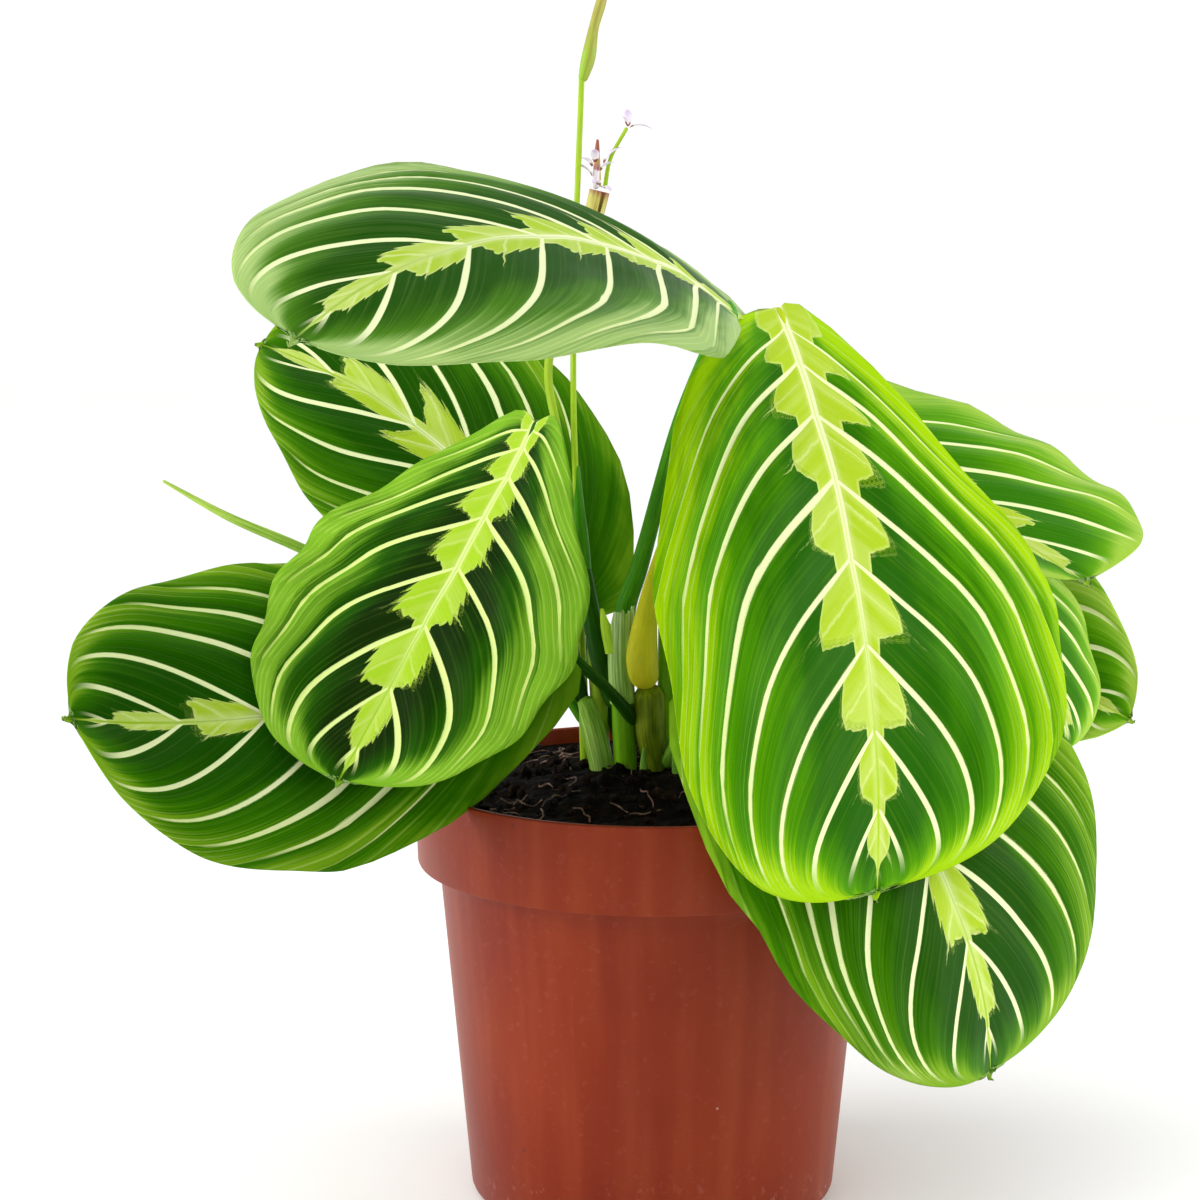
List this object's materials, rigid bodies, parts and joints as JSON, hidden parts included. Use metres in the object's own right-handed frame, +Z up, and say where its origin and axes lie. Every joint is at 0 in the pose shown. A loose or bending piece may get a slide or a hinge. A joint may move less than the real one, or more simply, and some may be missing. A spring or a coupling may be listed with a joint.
{
  "type": "potted prayer plant",
  "caption": "Prayer plant with broad herringbone-veined leaves on arching stalks and slim flower scapes, rooted in soil in a round terracotta nursery pot.",
  "frame": {"origin": "centre of the pot's flat underside", "axes": "+Z up along the pot's axis, -Y towards the plant's front, +X to the right seen from the front"},
  "size_m": [0.2607, 0.2216, 0.3051],
  "materials": {
    "pot": "terracotta-coloured moulded nursery plastic, faint sheen, light scuffs and specks",
    "soil": "dark moist peat soil with crumbs and fine rootlets",
    "leaf": "silky deep green leaf with cream lateral veins and a lime herringbone along the midrib",
    "young_leaf": "silky bright green leaf with cream lateral veins and a lime herringbone along the midrib",
    "stem": "smooth green stems and leaf stalks, paler at the sheaths and darker at the joints",
    "stalk": "smooth lime green flower stalk",
    "bract": "thin tan and lime bract with a pinkish edge",
    "petal": "thin white petals with lilac tint and small purple-brown marks"
  },
  "bodies": {
    "root": {"pot": "pot", "soil": "soil", "blade_top_left": "leaf", "blade_back_left": "leaf", "blade_front_left": "leaf", "blade_low_left": "leaf", "blade_front_right": "young_leaf", "blade_back_right": "leaf", "blade_outer_right": "leaf", "blade_inner_right": "leaf", "blade_low_right": "leaf", "shoot_left": "stem", "shoot_middle": "stem", "shoot_right": "stem", "scale_left": "stem", "scale_right": "stem", "rolled_leaf": "stalk", "flower_stalk_tall": "stalk", "spathe_tall": "bract", "flower_stalk_short": "stalk", "spathe_short": "bract", "flower_lower": "petal", "flower_upper": "petal", "flower_bud": "petal"}
  },
  "joints": []
}
